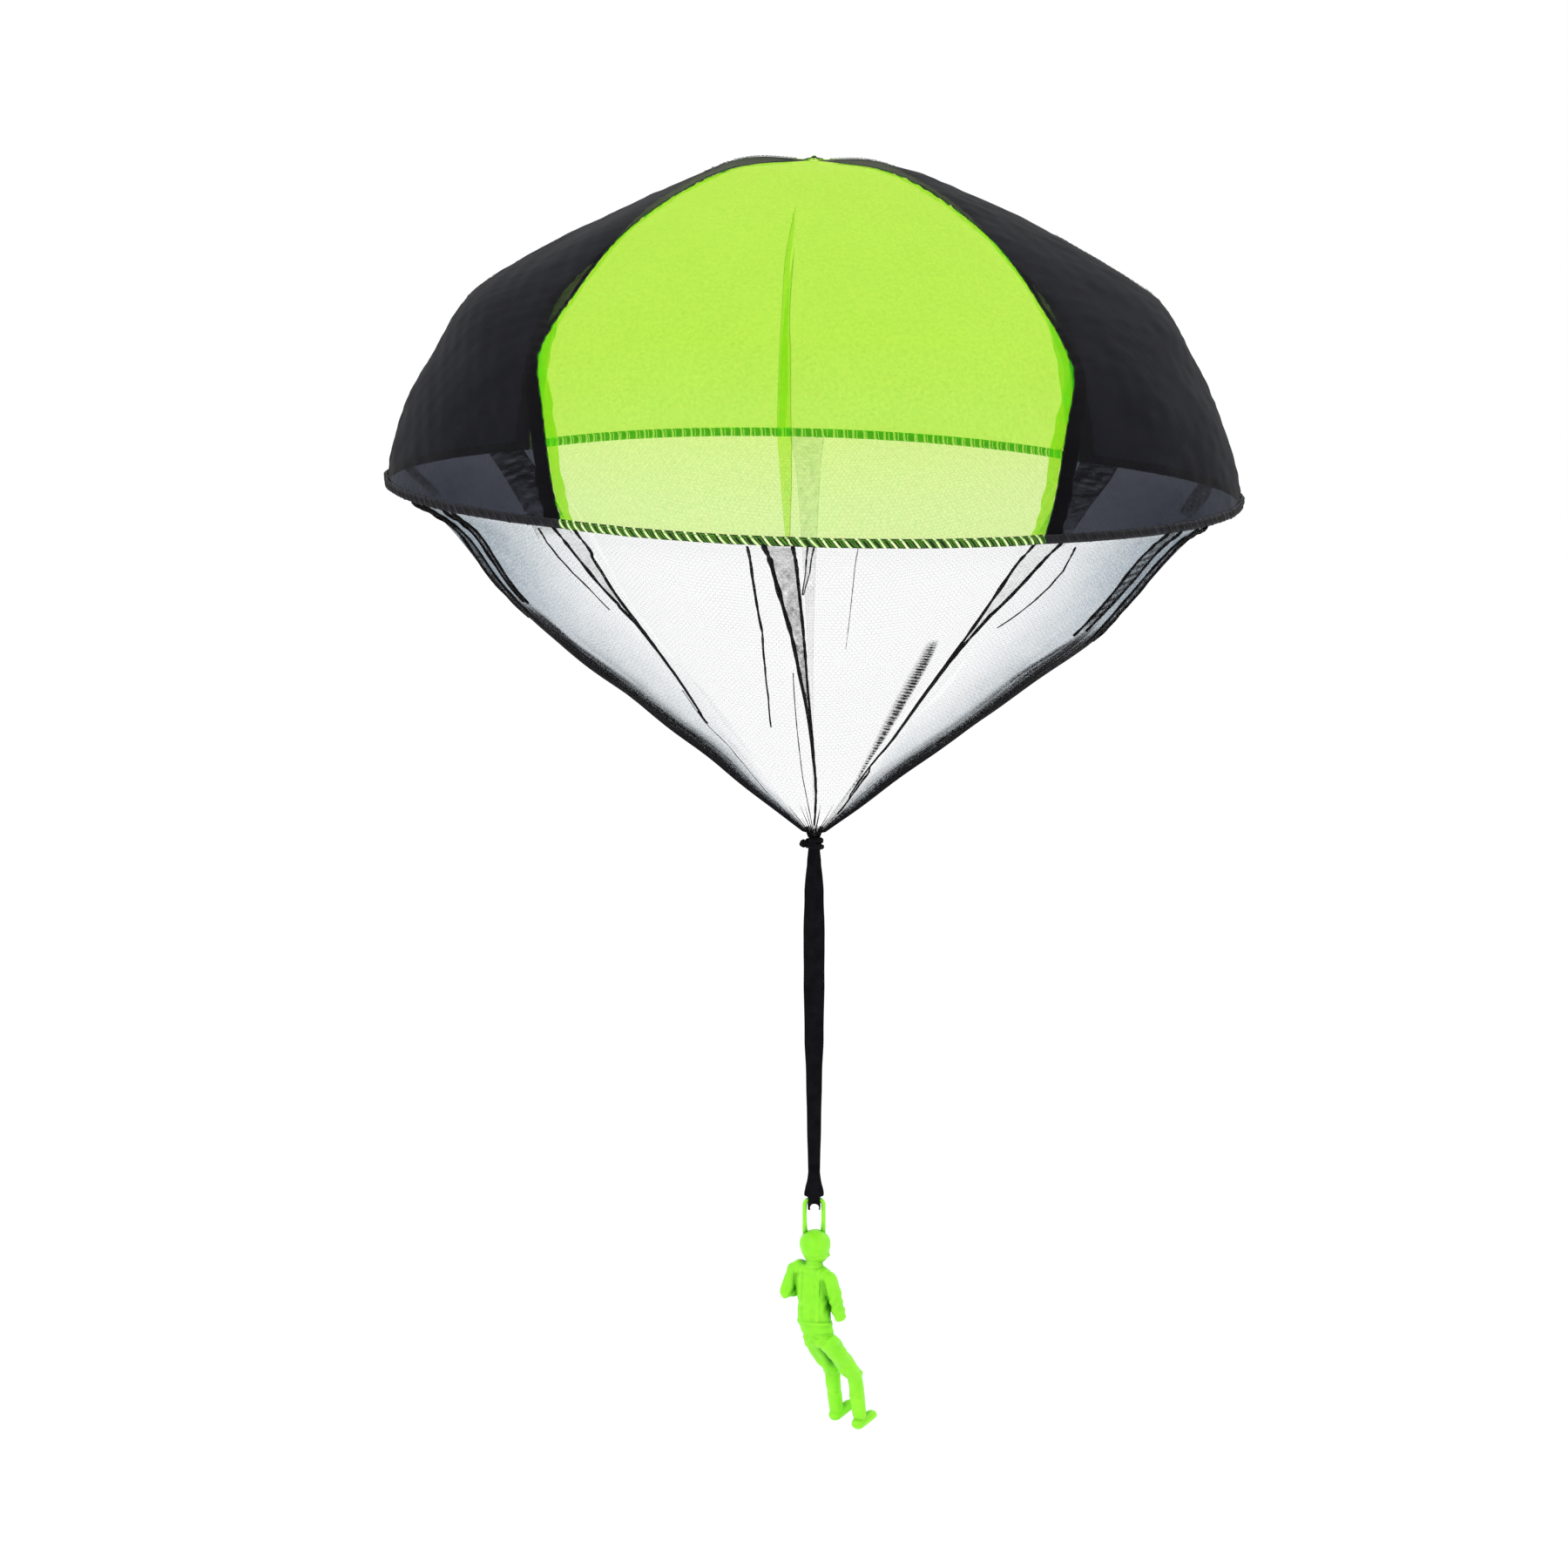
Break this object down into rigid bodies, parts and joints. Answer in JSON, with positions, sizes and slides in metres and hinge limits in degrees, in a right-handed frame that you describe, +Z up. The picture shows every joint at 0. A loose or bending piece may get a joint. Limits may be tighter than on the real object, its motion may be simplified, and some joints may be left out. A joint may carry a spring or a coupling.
{
  "type": "toy parachute",
  "caption": "Toy parachute: a sheer sewn canopy closed below by a gathered net, and a soft strap that carries a moulded figure by its ring.",
  "frame": {"origin": "the tip of the crown stitch at the very top, where the toy is held up", "axes": "+Z is up along the hanging axis, +X is to the right in the picture and -Y faces its camera, towards the middle of the front green panel"},
  "size_m": [0.3766, 0.3765, 0.574],
  "materials": {
    "green_cloth": "thin sheer woven nylon with a soft sheen",
    "black_cloth": "thin sheer woven nylon with a soft sheen",
    "green_thread": "slanted overlock stitches",
    "black_thread": "stitched thread",
    "black_net": "fine open mesh",
    "strap_cloth": "soft matt knitted cord",
    "green_plastic": "smooth moulded, slightly translucent"
  },
  "bodies": {
    "canopy_and_net": {"crown_stitch": "green_thread", "canopy_front": "green_cloth", "canopy_left": "black_cloth", "canopy_back": "green_cloth", "canopy_right": "black_cloth", "seam_thread_front_left": "black_thread", "seam_thread_front_right": "black_thread", "seam_thread_back_left": "black_thread", "seam_thread_back_right": "black_thread", "hem_front": "green_thread", "hem_left": "black_thread", "hem_back": "green_thread", "hem_right": "black_thread", "net_front": "black_net", "net_left": "black_net", "net_back": "black_net", "net_right": "black_net", "net_gather": "black_net", "knot": "strap_cloth", "knot_tail": "strap_cloth"},
    "strap_neck": {"strap_neck": "strap_cloth"},
    "strap": {"strap": "strap_cloth"},
    "strap_loop": {"strap_loop": "strap_cloth"},
    "figure": {"figure": "green_plastic"}
  },
  "joints": [
    {"name": "side_swing", "type": "hinge", "parent": "canopy_and_net", "child": "strap_neck", "pos_m": [0, 0, -0.31207], "axis": [0, 1, 0], "range_deg": [-90, 90]},
    {"name": "fore_aft_swing", "type": "hinge", "parent": "strap_neck", "child": "strap", "pos_m": [0, 0, -0.31827], "axis": [1, 0, 0], "range_deg": [-90, 90]},
    {"name": "strap_twist", "type": "hinge", "parent": "strap", "child": "strap_loop", "pos_m": [0, 0, -0.45467], "axis": [0, 0, 1], "range_deg": [-180, 180]},
    {"name": "figure_swing", "type": "hinge", "parent": "strap_loop", "child": "figure", "pos_m": [0, 0, -0.46727], "axis": [1, 0, 0], "range_deg": [-85, 85]}
  ]
}
